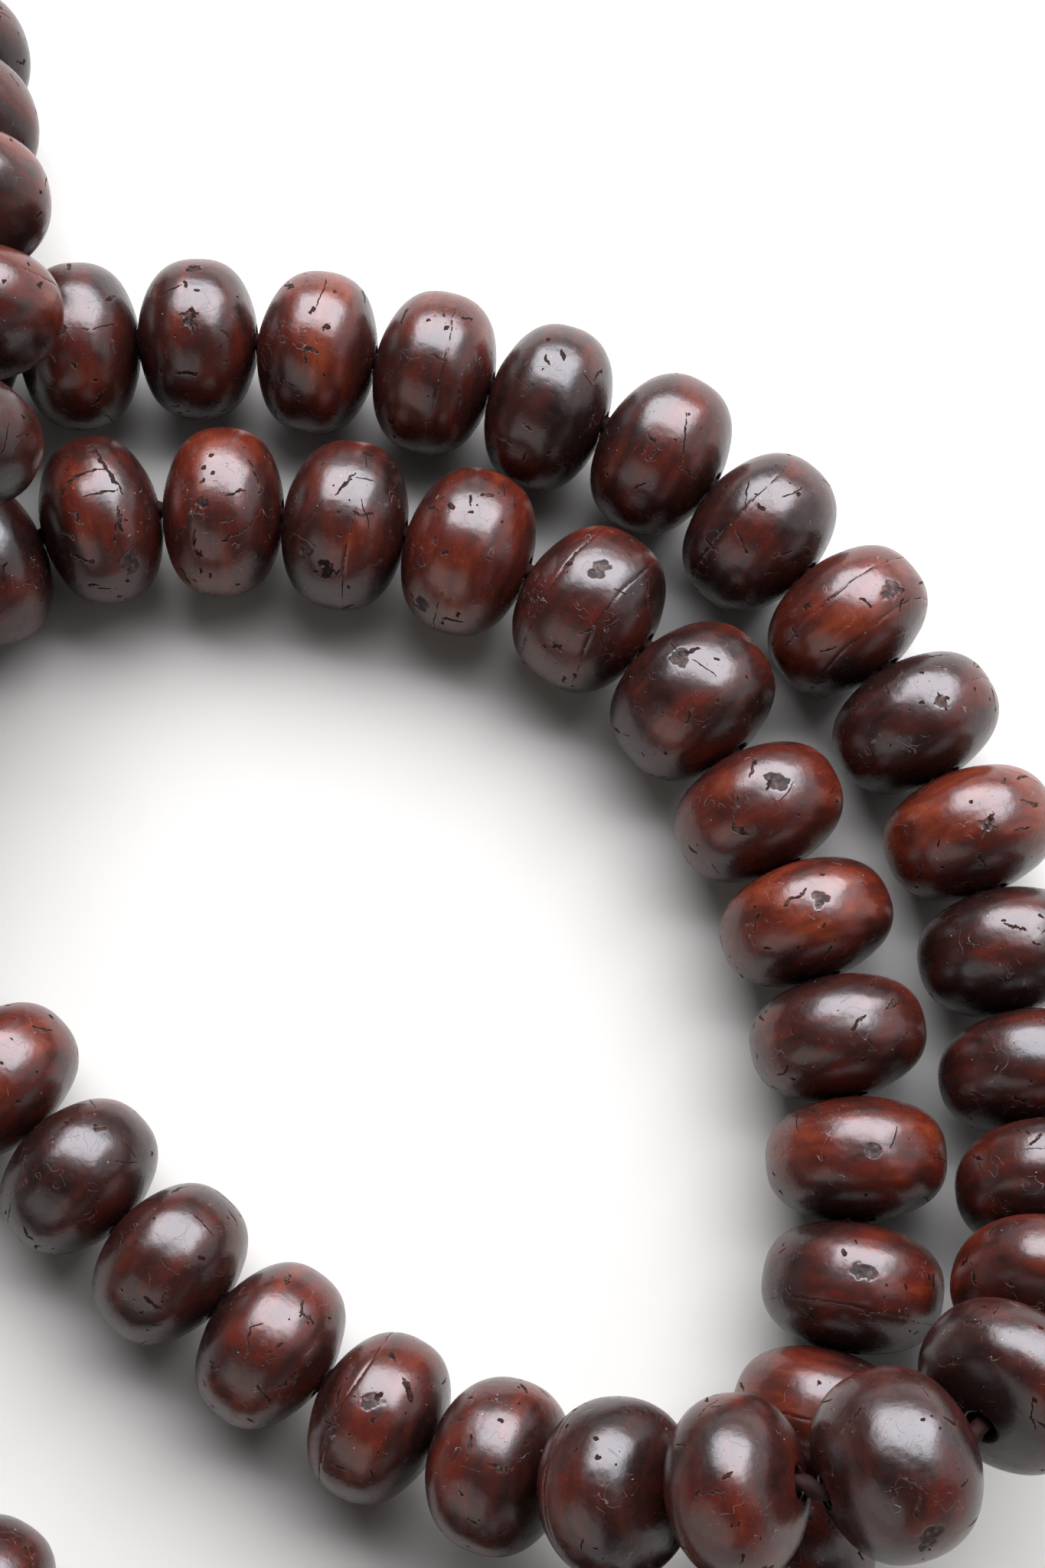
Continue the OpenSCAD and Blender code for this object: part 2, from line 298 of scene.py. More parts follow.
def cord_material():
    """Waxed twisted cord, dark red, with fine fibres along the strands."""
    n = Nodes("waxed_cord")
    fibre = n.attribute("fibre", "Vector")
    strands = n.noise(n.scaled(fibre, (6.0, 6.0, 0.7)), 2.0, 4, 0.65)
    wax = n.noise(fibre, 0.5, 3)
    colour = n.ramp(strands, [(0.3, CORD_BLACK), (0.7, CORD_RED)])
    colour = n.mix(n.step(wax, 0.4, 0.8), colour, n.mix(0.5, colour, WAX_BROWN))
    n.put(n.shader.inputs["Base Color"], colour)
    n.put(n.shader.inputs["Roughness"], n.math("MULTIPLY_ADD", strands, 0.3, 0.5))
    n.shader.inputs["Specular IOR Level"].default_value = 0.15
    n.put(n.shader.inputs["Normal"], n.bump(strands, 0.05 * MM))
    return n.material


# --- Places and sizes of the beads, read from the frame --------------------

def triangles_of(node):
    """Corner points, in millimetres, of each triangle of a node's mesh, and its loose part."""
    mesh = frame["nodes"][node].data
    mesh.calc_loop_triangles()
    points = np.empty(len(mesh.vertices) * 3)
    mesh.vertices.foreach_get("co", points)
    points = points.reshape(-1, 3) / MM
    corners = np.empty(len(mesh.loop_triangles) * 3, int)
    mesh.loop_triangles.foreach_get("vertices", corners)
    _, weld = np.unique(np.round(points, 3), axis=0, return_inverse=True)
    welded = weld.reshape(-1)[corners].reshape(-1, 3)
    label = np.arange(welded.max() + 1)
    while True:
        low = label[welded].min(1)
        spread = label.copy()
        for side in range(3):
            np.minimum.at(spread, welded[:, side], low)
        spread = spread[spread]
        if (spread == label).all():
            break
        label = spread
    return points[corners].reshape(-1, 3, 3), label[welded[:, 0]]


def bead_shape(corners):
    """Middle, axis, half length and radius of one round bead, from its triangles."""
    area = np.linalg.norm(np.cross(corners[:, 1] - corners[:, 0], corners[:, 2] - corners[:, 0]), axis=1)
    centres = corners.mean(1)
    middle = (centres * area[:, None]).sum(0) / area.sum()
    spread = ((centres - middle) * area[:, None]).T @ (centres - middle)
    axis = np.linalg.eigh(spread)[1][:, 0]
    offsets = corners.reshape(-1, 3) - middle
    along = offsets @ axis
    across = np.linalg.norm(offsets - along[:, None] * axis, axis=1)
    return {"middle": middle, "axis": axis, "half": np.ptp(along) / 2, "radius": across.max()}


def read_beads():
    """Every counting bead in the order of the string, with its number, body and node."""
    found = []
    bodies = {n: body for body, nodes in frame["record"]["behaviour"]["bodies"].items() for n in nodes}
    for node in bodies:
        if node.startswith("bead"):
            corners, part = triangles_of(node)
            first = int(node.split("_")[1])
            group = [bead_shape(corners[part == p]) for p in np.unique(part)]
            found.append((first, node, group))
    beads = []
    for first, node, group in sorted(found, key=lambda f: f[0]):
        while group:
            here = beads[-1]["middle"] if beads else group[0]["middle"]
            nearest = min(range(len(group)), key=lambda k: np.linalg.norm(group[k]["middle"] - here))
            bead = group.pop(nearest)
            bead.update(number=len(beads) + 1, node=node, body=bodies[node])
            beads.append(bead)
    for k, bead in enumerate(beads):
        ahead = beads[min(k + 1, len(beads) - 1)]["middle"] - beads[max(k - 1, 0)]["middle"]
        if bead["axis"] @ ahead < 0:
            bead["axis"] = -bead["axis"]
    return beads


# --- Seeds -----------------------------------------------------------------
# Lengths are in millimetres. Inside a seed's builder its hole runs along z, and turn 0 is its top as it lies.

BORE_R = 1.0
EDGE_R = 0.25
TOUCH_GAP = 0.05
# The exponent of a seed's outline. Where neighbours would meet it is lowered by ROUNDER, down to ROUNDEST.
SQUARE_RANGE = (2.28, 2.46)
ROUNDEST, ROUNDER = 2.1, 0.06
FITTING_ROUNDS = 5
# Stands for any distance that is too far to matter.
FAR = 9
# Points round a seed and rings along it, for a seed that moves by itself and for one in a group.
FINE_GRID = (160, 104)
COARSE_GRID = (100, 68)
DENSITY_STEPS = 4001
OUTLINE_STEPS = 2000
NOISE_CELLS = 16
noise_table = random.uniform(-1, 1, (NOISE_CELLS, NOISE_CELLS, NOISE_CELLS))


def lumps(points, size):
    """Smooth noise from -1 to 1 at each point, with lumps about size across."""
    scaled = points / size
    cell = np.floor(scaled).astype(int)
    part = scaled - cell
    part = part * part * (3 - 2 * part)
    total = np.zeros(points.shape[:-1])
    for corner in np.ndindex(2, 2, 2):
        weight = np.prod(np.where(corner, part, 1 - part), axis=-1)
        index = (cell + corner) % NOISE_CELLS
        total += weight * noise_table[index[..., 0], index[..., 1], index[..., 2]]
    return total


def smooth(value, low, high):
    part = np.clip((value - low) / (high - low), 0, 1)
    return part * part * (3 - 2 * part)


def dense_places(count, start, end, features):
    """Places from start to end, closer together near each (place, reach, extra density)."""
    fine = np.linspace(start, end, DENSITY_STEPS)
    density = np.ones_like(fine)
    for place, reach, extra in features:
        density += extra * np.exp(-(((fine - place) / reach) ** 2))
    summed = np.concatenate([[0], np.cumsum((density[1:] + density[:-1]) / 2)])
    return np.interp(np.linspace(0, summed[-1], count), summed, fine)


class Outline:
    """Half of a seed's outline, from the edge of one hole round to the other, by length along it.

    Each half is a quarter of a squarish oval: square is its exponent, 2 for an ellipse.
    """

    def __init__(self, radius, ahead, behind, square):
        t = np.linspace(0, math.pi / 2, OUTLINE_STEPS)
        across = radius * np.sin(t) ** (2 / square)
        rows = []
        for half, flip in ((ahead, 1), (behind, -1)):
            along = half * np.cos(t) ** (2 / square)
            normal = np.arctan2(across ** (square - 1) / radius**square, along ** (square - 1) / half**square)
            part = np.stack([across, along * flip, normal if flip > 0 else math.pi - normal])
            rows.append(part[:, across >= BORE_R + EDGE_R][:, ::flip])
        self.rows = np.concatenate([rows[0], rows[1][:, 1:]], axis=1)
        self.steps = np.concatenate([[0], np.cumsum(np.hypot(*np.diff(self.rows[:2], axis=1)))])
        self.mid, self.length = self.steps[rows[0].shape[1] - 1], self.steps[-1]

    def at(self, s):
        """Distance from the axis, height on it, and the angle of the surface's normal to it."""
        return tuple(np.interp(s, self.steps, row) for row in self.rows)

    def place_of(self, height):
        """Length along the outline at a height on the axis."""
        return float(np.interp(-height, -self.rows[1], self.steps))


# The kinds of mark: the shader fills a track with pale crumbs, and leaves a pit or a crack black, partly painted
# shade in the hollow.
PIT, CRACK, TRACK = 0.3, 0.4, 1.0
# How far beyond its edge a mark is fully written, is faded out, and keeps other marks out of its layer.
MARK_REACH = (0.3, 0.55, 0.9)
# How much a mark curves at most, in millimetres of bend at one millimetre from its middle.
MARK_BEND = 0.12

# What sets a seed apart, by its number on the string. tone is how red it is, from 0, nearly black, to 1. square is
# the exponent of its outline, and slim is the part of its width that is worn off across the table.
# A mark is (turn, at, lean, length, width, kind), with turn in degrees round the cord from straight up, at in
# millimetres along it, and lean in degrees from along it. A scar is (turn, at, size, lobes), and a seam is
# (at, turn of its middle, degrees that it reaches each way).
MARKED = {
    8: {"tone": 0.4, "square": 2.44, "seams": [], "scars": [], "marks": [
        (7, -0.6, 90, 1.9, 0.42, TRACK), (12, 1.2, 20, 0.5, 0.3, TRACK), (35, 0.3, 0, 0.5, 0.4, TRACK)]},
    9: {"tone": 0.4, "square": 2.50, "slim": 0.05, "seams": [], "scars": [(10, 0, 0.3, 1)], "marks": [
        (10, 0, 90, 1.9, 0.34, TRACK), (10, 0, 35, 1.6, 0.3, TRACK), (10, 0, -35, 1.6, 0.3, TRACK),
        (-13, 0.45, 20, 0.45, 0.36, PIT), (-13, -1.5, -20, 1.9, 0.16, CRACK), (-34, 0, -30, 1.2, 0.5, TRACK),
        (46, -0.4, 0, 1.8, 0.36, TRACK), (30, -0.1, 90, 1.6, 0.1, CRACK), (40, 2.5, 15, 0.6, 0.22, TRACK)]},
    10: {"tone": 0.62, "square": 2.44, "slim": 0.04, "seams": [], "scars": [], "marks": [
        (-24, 0.3, 92, 3.6, 0.12, CRACK), (-6, 0, 90, 0.6, 0.38, PIT), (21, 0, 5, 1.9, 0.2, TRACK),
        (25, 0, 70, 1.2, 0.2, TRACK), (3, 1.1, 0, 0.6, 0.4, TRACK), (48, -0.9, 30, 0.7, 0.22, TRACK)]},
    11: {"tone": 0.55, "square": 2.44, "slim": 0.03, "seams": [(1.1, 5, 42)], "scars": [], "marks": [
        (-11, 0.7, 0, 0.35, 0.26, PIT), (-22, 0.3, 40, 0.4, 0.28, PIT), (55, -1.8, 60, 0.6, 0.2, TRACK)]},
    12: {"tone": 0.3, "square": 2.38, "seams": [], "scars": [], "marks": [
        (-18, 0.4, 70, 1.0, 0.3, PIT), (-10, -0.6, 60, 0.9, 0.26, PIT), (10, -1.8, 20, 2.2, 0.1, CRACK)]},
    13: {"tone": 0.5, "square": 2.38, "scars": [], "marks": [
        (0, 1.6, 60, 3.4, 0.14, CRACK), (15, 0, 20, 1.6, 0.3, TRACK), (20, 0.4, 80, 1.2, 0.26, TRACK)]},
    14: {"tone": 0.36, "square": 2.38, "scars": [], "marks": [
        (5, 0, 0, 0.7, 0.5, PIT), (5, -1.4, 50, 2.6, 0.12, CRACK), (-20, 0.8, 100, 2.2, 0.12, CRACK),
        (30, 0.6, 20, 2.0, 0.24, TRACK)]},
    15: {"tone": 0.66, "square": 2.38, "seams": [(-0.9, 0, 70), (2.4, 0, 80)], "scars": [(-22, 0.9, 0.5, 2)],
         "marks": [(32, -1.6, 0, 0.5, 0.4, PIT)]},
    16: {"tone": 0.3, "square": 2.38, "scars": [(-8, 0.6, 0.35, 1)], "marks": [
        (-8, 0.6, 0, 1.5, 0.22, TRACK), (-8, 0.6, 90, 1.3, 0.22, TRACK)]},
    17: {"tone": 0.72, "square": 2.38, "scars": [(0, 0.9, 0.4, 1)], "marks": [
        (0, 0.9, 40, 1.8, 0.26, TRACK), (0, 0.9, 130, 1.5, 0.24, TRACK)]},
    27: {"tone": 0.45, "square": 2.38, "scars": [(5, 0, 0.45, 2)]},
    90: {"tone": 0.42, "square": 2.50, "slim": 0.0, "scars": [(0, 0.5, 0.4, 2)], "seams": [(-1.9, 0, 75)]},
    91: {"tone": 0.6, "square": 2.50, "slim": 0.0, "scars": [(4, -0.2, 0.4, 1)]},
    93: {"tone": 0.7, "square": 2.44, "slim": 0.01, "scars": [(6, 0.2, 0.42, 2)]},
    96: {"tone": 0.44, "square": 2.38, "seams": [(2.1, -5, 80), (-2.1, -5, 75)], "scars": [(10, 0, 0.55, 2)],
         "marks": [(-50, -0.4, 30, 0.9, 0.2, TRACK), (-50, -0.4, 120, 0.8, 0.2, TRACK)]},
    97: {"tone": 0.62, "square": 2.38, "seams": [(0.3, -72, 24)], "scars": [(-70, 1.4, 0.5, 2)], "marks": [
        (26, -0.6, 150, 1.0, 0.44, TRACK), (8, 0, 0, 0.4, 0.3, PIT), (-23, 0.8, 0, 0.5, 0.36, PIT),
        (-17, 1.7, 30, 0.5, 0.36, TRACK), (7, 1.5, 0, 0.7, 0.4, TRACK), (40, -1.4, 70, 1.6, 0.12, CRACK)]},
    98: {"tone": 0.4, "square": 2.44, "seams": [(-0.9, -45, 38)], "scars": [(-42, 2.1, 0.42, 1)], "marks": [
        (-50, 0.3, 0, 1.2, 1.1, PIT), (9, -0.2, 117, 2.1, 0.28, TRACK), (16, -1.5, 170, 1.4, 0.1, CRACK),
        (41, -1.2, 0, 0.9, 0.36, TRACK), (-22, 2.2, 130, 4.2, 0.08, CRACK), (-50, 0.2, 90, 1.1, 1.0, PIT)]},
    99: {"tone": 0.62, "square": 2.41, "seams": [], "scars": [], "marks": [
        (21, 0.4, 0, 0.4, 0.32, PIT), (11, 0.9, 0, 0.4, 0.3, PIT), (7, 0.2, 0, 0.3, 0.24, PIT),
        (0, 0.9, 0, 0.4, 0.3, TRACK), (15, -2.0, 8, 2.6, 0.26, TRACK), (11, -0.7, 50, 1.0, 0.22, TRACK),
        (-6, -1.4, 155, 1.6, 0.2, TRACK), (-13, 0.8, 90, 0.9, 0.4, TRACK), (-38, 1.4, 90, 1.5, 0.28, TRACK),
        (-50, 1.2, 80, 0.8, 0.4, PIT), (-33, -1.9, 150, 3.7, 0.22, TRACK), (-25, -1.0, 150, 1.0, 0.2, TRACK)]},
    100: {"tone": 0.56, "square": 2.38, "seams": [], "scars": [(-56, -1.8, 0.6, 2)], "marks": [
        (12, 0.7, 162, 3.8, 0.24, TRACK), (13, -1.5, 70, 4.1, 0.22, CRACK), (35, -0.7, 70, 1.2, 0.5, TRACK),
        (-3, -0.6, 0, 2.4, 0.2, TRACK), (-15, 1.3, 60, 1.4, 0.3, TRACK), (-28, -1.3, 110, 2.8, 0.22, TRACK),
        (-45, 1.6, 20, 1.8, 0.24, TRACK), (-73, 0.7, 0, 1.0, 0.2, TRACK)]},
}

# The tone of seeds that have nothing else set; the rest are picked at random.
TONES = {18: 0.18, 19: 0.34, 20: 0.42, 21: 0.52, 22: 0.3, 23: 0.42, 24: 0.48, 25: 0.3, 26: 0.52, 28: 0.45,
         29: 0.45, 30: 0.25, 31: 0.62, 80: 0.25, 81: 0.25, 89: 0.6, 92: 0.45, 94: 0.62, 95: 0.38}

# The lower row is of slimmer seeds.
SLIM_SEEDS, SLIM = range(24, 31), 0.055
# The share of the other seeds that have a scar, and a seam.
SCARRED, SEAMED = 0.6, 0.4

# Unevenness of a worn seed: (depth, place in the noise, size of the lumps).
UNEVEN = ((0.05, 0, 6), (0.03, 50, 2.6), (0.007, 70, 1.1))
GROOVE_DEPTH = 0.035
SCAR_DEPTH, SCAR_CRUMBS = 0.06, 0.04


def random_marks(count):
    """Pits, tracks and a few long cracks, anywhere on a seed."""
    marks = []
    for kind in random.uniform(size=count):
        turn, at, lean = random.uniform(-180, 180), random.uniform(-3.2, 3.2), random.uniform(0, 180)
        if kind < 0.5:
            width = random.uniform(0.13, 0.3)
            marks.append((turn, at, lean, width * random.uniform(1.1, 1.8), width, PIT))
        elif kind < 0.9:
            marks.append((turn, at, lean, random.uniform(0.5, 1.9), random.uniform(0.17, 0.3), TRACK))
        else:
            marks.append((turn, at, lean, random.uniform(0.8, 2.6), random.uniform(0.08, 0.12), CRACK))
    return marks


def mark_layers(marks, outline, local):
    """Three layers of (across, along, kind) in which no two marks meet, so that each one stays crisp."""
    layers = [np.zeros(local.shape) for _ in range(3)]
    for turn, at, lean, length, width, kind in marks:
        place = outline.place_of(at)
        across, along, normal = (float(v) for v in outline.at(np.array(place)))
        turn, lean = math.radians(turn), math.radians(lean)
        out = np.array([math.cos(turn), math.sin(turn), 0])
        beside = np.array([-math.sin(turn), math.cos(turn), 0])
        ahead = math.sin(normal) * np.array([0, 0, 1]) - math.cos(normal) * out
        off = local - (across * out + along * np.array([0, 0, 1]))
        near = np.linalg.norm(off, axis=-1) < length / 2 + 2
        x, y = off @ ahead, off @ beside
        w = x * math.cos(lean) + y * math.sin(lean)
        v = y * math.cos(lean) - x * math.sin(lean) - random.uniform(-MARK_BEND, MARK_BEND) * w * w
        outside = np.where(near, np.maximum(np.abs(v) - width / 2, np.abs(w) - length / 2), FAR)
        full, gone, kept = MARK_REACH
        taken = outside < kept
        value = np.stack([v * 2 / width, w * 2 / length, kind * smooth(outside, gone, full)], -1)
        for layer in layers:
            if not (taken & (layer[..., 2] > 0)).any():
                layer[taken] = np.clip(value[taken], -FAR, FAR)
                break
    return layers


def make_mesh(name, points, quads, material, attributes):
    """A smooth mesh object in the row frame from points in millimetres."""
    mesh = bpy.data.meshes.new(name)
    mesh.vertices.add(len(points))
    mesh.vertices.foreach_set("co", (points * MM).ravel())
    mesh.loops.add(quads.size)
    mesh.loops.foreach_set("vertex_index", quads.ravel())
    mesh.polygons.add(len(quads))
    mesh.polygons.foreach_set("loop_start", np.arange(0, quads.size, 4))
    mesh.update(calc_edges=True)
    mesh.shade_smooth()
    for key, values in attributes.items():
        kind = "FLOAT" if values.ndim == 1 else "FLOAT_VECTOR"
        field = "value" if values.ndim == 1 else "vector"
        mesh.attributes.new(key, kind, "POINT").data.foreach_set(field, values.astype(np.float32).ravel())
    mesh.materials.append(material)
    made = bpy.data.objects.new(name, mesh)
    bpy.context.scene.collection.objects.link(made)
    return made


def ring_quads(rings, sides, closed=False):
    """Faces of a tube made of rings of points; a closed tube joins its last ring to its first."""
    r = np.arange(rings if closed else rings - 1)[:, None]
    k = np.arange(sides)[None, :]
    after, beside = (r + 1) % rings, (k + 1) % sides
    quads = np.stack([r * sides + k, after * sides + k, after * sides + beside, r * sides + beside], -1)
    return quads.reshape(-1, 4)


def pick_features(number):
    """How slim a seed is, and its scars, seams and marks, as MARKED gives them or at random."""
    known = MARKED.get(number, {})
    slim = known.get("slim", SLIM if number in SLIM_SEEDS else random.uniform(0.0, 0.015))
    scars = [(random.uniform(-180, 180), random.uniform(-2, 2), random.uniform(0.4, 0.6), 2)]
    scars = known.get("scars", scars if random.uniform() < SCARRED else [])
    seams = [(random.uniform(-2.6, 2.6), random.uniform(-180, 180), random.uniform(50, 130))]
    seams = known.get("seams", seams if random.uniform() < SEAMED else [])
    return slim, scars, seams, known.get("marks", []) + random_marks(random.randint(36, 54))


def seed_grid(outline, scar_places, seam_places, sides, rings):
    """Lengths along the outline and turns round the cord of a mesh that is denser at scars and seams."""
    near_scars = [(s, 1.1, 2.0) for _, s in scar_places]
    near_seams = [(s, 0.3, 2.5) for s in seam_places]
    s = dense_places(rings, 0, outline.length, near_scars + near_seams)
    around = [(turn + k * math.tau, 0.25, 2.0) for turn, _ in scar_places for k in (-1, 0, 1)]
    u = dense_places(sides + 1, -math.pi, math.pi, around)[:-1]
    return np.meshgrid(s, u, indexing="ij")


def trace_seams(s, u, outline, seams, seam_places, offset):
    """Lengths that make the rows wander with the seams, the seam attribute, and how deep the groove is."""
    circle = np.stack([np.cos(u), np.sin(u), np.zeros_like(u)], -1)
    warped = s.copy()
    inside = smooth(s, 0, 1.5) * smooth(outline.length - s, 0, 1.5)
    for place in seam_places:
        wander = 0.4 * lumps(circle * 6 + offset + place, 4)
        warped += wander * np.exp(-(((s - place) / 1.3) ** 2)) * inside
    seam = np.zeros((*s.shape, 3))
    groove = np.zeros_like(s)
    for place, (_, turn, reach) in zip(seam_places, seams):
        gap = s - place
        off = np.abs((np.degrees(u) - turn + 180) % 360 - 180)
        near = np.abs(gap) < 0.8
        value = np.stack([gap / 0.045, off / reach, CRACK * smooth(np.abs(gap), 0.6, 0.35)], -1)
        seam[near] = np.clip(value[near], -FAR, FAR)
        groove = np.maximum(groove, np.exp(-((gap / 0.13) ** 2)) * smooth(off, reach, reach - 25))
    return warped, seam, groove


def scar_cover(warped, u, across, grain, scars, scar_places):
    """How much each point lies in a scar, which is a cluster of ragged lobes."""
    scar = np.zeros_like(u)
    for (turn, at), (_, _, size, lobes) in zip(scar_places, scars):
        d_round = ((u - turn + math.pi) % math.tau - math.pi) * across
        d_along = warped - at
        for _ in range(2 * lobes + 1):
            lean, shift = random.uniform(0, math.tau), size * random.uniform(0.2, 1.1)
            reach = np.hypot(d_round - shift * math.cos(lean), d_along - shift * math.sin(lean))
            reach *= (1 + 0.4 * lumps(grain + 30, 0.9 * size)) / (size * random.uniform(0.5, 0.95))
            scar = np.maximum(scar, smooth(reach, 1.4, 0.6))
    return scar


def hole_edge(ring, u, top):
    """Rings that round the edge of the hole, from the last ring of a seed's face at its top or its bottom."""
    turns = np.linspace(0.25, 1, 4)[:, None] * math.pi / 2
    radial = np.hypot(ring[:, 0], ring[:, 1])
    across = BORE_R + (radial - BORE_R) * (1 - np.sin(turns))
    drop = EDGE_R * (1 - np.cos(turns)) * (1 if top else -1)
    edge = np.stack([across * np.cos(u), across * np.sin(u), ring[:, 2] - drop], -1)
    return edge[::-1] if top else edge


def build_seed(bead, material, sides, rings):
    """One seed: an oval worn out of round, with a true hole, scars, seams and marks."""
    number, outline = bead["number"], bead["outline"]
    offset = random.uniform(0, 200, 3)
    slim, scars, seams, marks = pick_features(number)
    scar_places = [(math.radians(turn), outline.place_of(at)) for turn, at, _, _ in scars]
    seam_places = [outline.place_of(at) for at, _, _ in seams]
    s, u = seed_grid(outline, scar_places, seam_places, sides, rings)
    warped, seam, groove = trace_seams(s, u, outline, seams, seam_places, offset)
    across, along, normal = outline.at(warped)
    local = np.stack([across * np.cos(u), across * np.sin(u), along], -1)
    grain = local + offset
    layers = mark_layers(marks, outline, local)
    scar = scar_cover(warped, u, across, grain, scars, scar_places)

    # The seed is worn inside its turned outline: slimmer across the table, and gently uneven.
    worn = sum(depth * (1 + lumps(grain + place, size)) for depth, place, size in UNEVEN)
    worn *= smooth(across, BORE_R + EDGE_R, 3.5)
    worn += slim * across * np.sin(u) ** 2
    worn += GROOVE_DEPTH * groove
    worn += scar * (SCAR_DEPTH + SCAR_CRUMBS * lumps(grain + 90, 0.28))
    local[..., 0] -= worn * np.sin(normal) * np.cos(u)
    local[..., 1] -= worn * np.sin(normal) * np.sin(u)
    local[..., 2] -= worn * np.cos(normal)

    # Rounded edges of the hole, and its wall.
    bottom, top = hole_edge(local[-1], u[0], False), hole_edge(local[0], u[0], True)
    wall = np.array([0.25, 0.5, 0.75])[:, None, None]
    inner = bottom[-1] * (1 - wall) + top[0] * wall
    local = np.concatenate([local, bottom, inner, top])
    extra = len(local) - len(s)
    unmarked = np.zeros((extra, sides, 3))
    attributes = {
        "grain": (local + offset).reshape(-1, 3),
        "scar": np.concatenate([scar, np.zeros((extra, sides))]).ravel(),
        # Nearness to the ends of the hole, which the shader darkens: partly patina, partly painted shade where
        # neighbours meet.
        "ends": smooth(np.abs(local[..., 2]) / bead["half"], 0.35, 0.95).ravel(),
    }
    for name, layer in zip(MARK_NAMES, [*layers, seam]):
        attributes[name] = np.concatenate([layer, unmarked]).reshape(-1, 3)

    axis = bead["axis"]
    up = np.array([0, 0, 1.0]) - axis[2] * axis
    up /= np.linalg.norm(up)
    placed = bead["middle"] + local @ np.stack([up, np.cross(axis, up), axis])
    quads = ring_quads(len(local), sides, closed=True)
    seed = make_mesh("seed_%03d" % number, placed.reshape(-1, 3), quads, material, attributes)
    random_tone = float(random.uniform(0.25, 0.65))
    seed["tone"] = MARKED.get(number, {}).get("tone", TONES.get(number, random_tone))
    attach(seed, bead["body"])
    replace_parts(seed, bead["node"])


def room_between(a, b):
    """Clearance along the cord between the facing ends of two neighbours, a before b."""
    fine = np.linspace(0, a["outline"].mid, 60)
    across, along, _ = a["outline"].at(fine)
    u = np.linspace(0, math.tau, 24, endpoint=False)[:, None]
    axis = a["axis"]
    side = np.cross(axis, (0, 0, 1.0))
    side /= np.linalg.norm(side)
    outward = np.cos(u)[..., None] * side + np.sin(u)[..., None] * np.cross(axis, side)
    points = a["middle"] + along[None, :, None] * axis + across[None, :, None] * outward
    off = points - b["middle"]
    height = off @ b["axis"]
    radial = np.linalg.norm(off - height[..., None] * b["axis"], axis=-1)
    edge = b["outline"].at(np.linspace(b["outline"].mid, b["outline"].length, 200))
    face = np.interp(radial, edge[0][::-1], edge[1][::-1])
    return float(np.where(radial < b["radius"], face - height, FAR).min())


def shape_beads(beads):
    """Gives each bead its outline: as square as it can be, and as long as its neighbours leave room for."""
    for bead in beads:
        bead["square"] = MARKED.get(bead["number"], {}).get("square", random.uniform(*SQUARE_RANGE))
        bead["ahead"] = bead["behind"] = bead["half"]
    for _ in range(FITTING_ROUNDS):
        for bead in beads:
            bead["outline"] = Outline(bead["radius"], bead["ahead"], bead["behind"], bead["square"])
        for bead, after in zip(beads, beads[1:]):
            spare = room_between(bead, after) - TOUCH_GAP
            if spare < 0:
                bead["square"] = max(ROUNDEST, bead["square"] - ROUNDER)
                after["square"] = max(ROUNDEST, after["square"] - ROUNDER)
            bead["ahead"] += spare / 2
            after["behind"] += spare / 2


# --- Cord and knot ---------------------------------------------------------
# Lengths are in millimetres. TWIST is the length of one turn of the strands, and TIP that of a melted end.

CORD_R = 0.6
LOBE = 0.17
TWIST = 3.6
TIP = 0.6
CORD_SIDES = 15
RING_SPACING = 0.36
START_SIDE = (0, 0.3, 1.0)

# The closing. The tail droops from the guru bead's middle, with the cord's two ends side by side in it.
GURU_MIDDLE = np.array([-43, 4.5, 7])
TAIL_DROOP = math.radians(13)
TAIL_BESIDE = np.array([0, 0.65, 0])
TAIL_LENGTHS = (22.5, 23.5)
TURN_IN = 1.6

# The knot: turns of cord from KNOT_START along the tail, each one KNOT_PITCH further on.
KNOT_TURNS = 2.75
KNOT_START = 15.9
KNOT_PITCH = 1.12
KNOT_TUCK = 0.2
KNOT_CORE = (1.15, 0.65)
KNOT_SWELL = 0.75
KNOT_POINTS = 140


def smooth_path(stations, spacing):
    """Points along a curve through (place, heading) stations, about spacing apart."""
    points = []
    for (p, a), (q, b) in zip(stations, stations[1:]):
        reach = np.linalg.norm(q - p)
        t = np.arange(0, 1, 1 / max(1, round(reach / spacing)))[:, None]
        points.append((2 * t**3 - 3 * t**2 + 1) * p + (t**3 - 2 * t**2 + t) * reach * a
                      + (3 * t**2 - 2 * t**3) * q + (t**3 - t**2) * reach * b)
    return np.concatenate([*points, stations[-1][0][None]])


